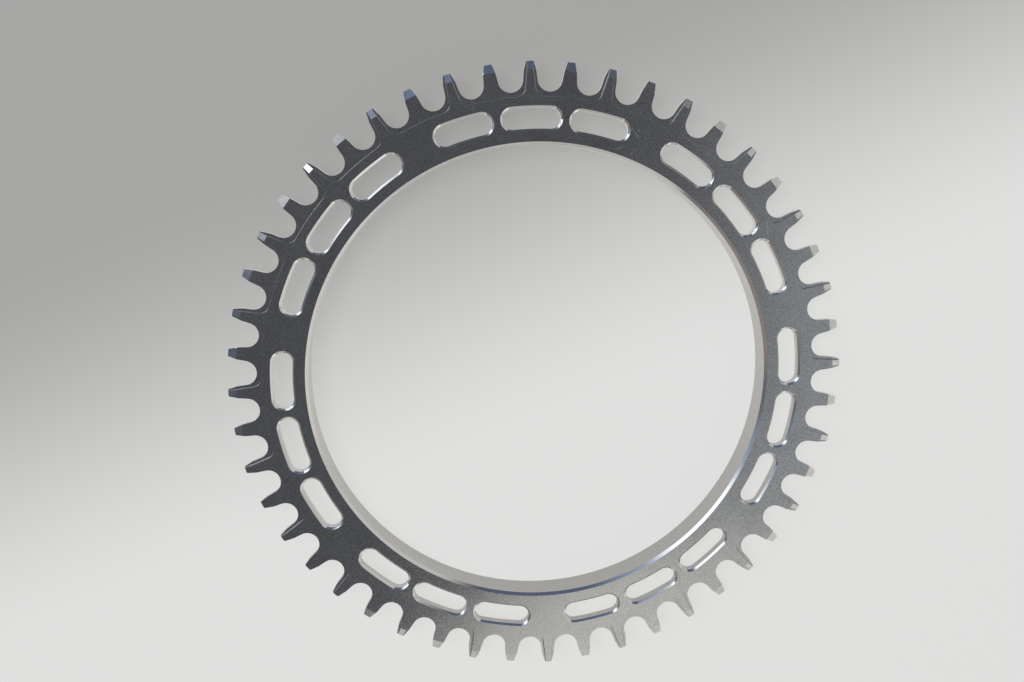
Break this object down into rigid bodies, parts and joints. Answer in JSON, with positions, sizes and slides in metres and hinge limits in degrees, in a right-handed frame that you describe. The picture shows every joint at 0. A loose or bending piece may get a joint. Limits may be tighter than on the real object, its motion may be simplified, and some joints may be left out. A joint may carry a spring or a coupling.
{
  "type": "bicycle chainring",
  "caption": "One-piece narrow-wide bicycle chainring: flat toothed ring with concentric slots and a plain bore on a short collar.",
  "frame": {"origin": "on the bore axis, in the plane of the collar's end face, on which the ring lies", "axes": "+Z along the bore axis, out of the outer face of the toothed plate; +Y through a wide tooth and the middle slot below it"},
  "size_m": [0.205, 0.205, 0.011],
  "materials": {
    "machined_aluminium": "bare machined metal, satin faces and bright bevels"
  },
  "bodies": {
    "root": {"chainring": "machined_aluminium"}
  },
  "joints": []
}
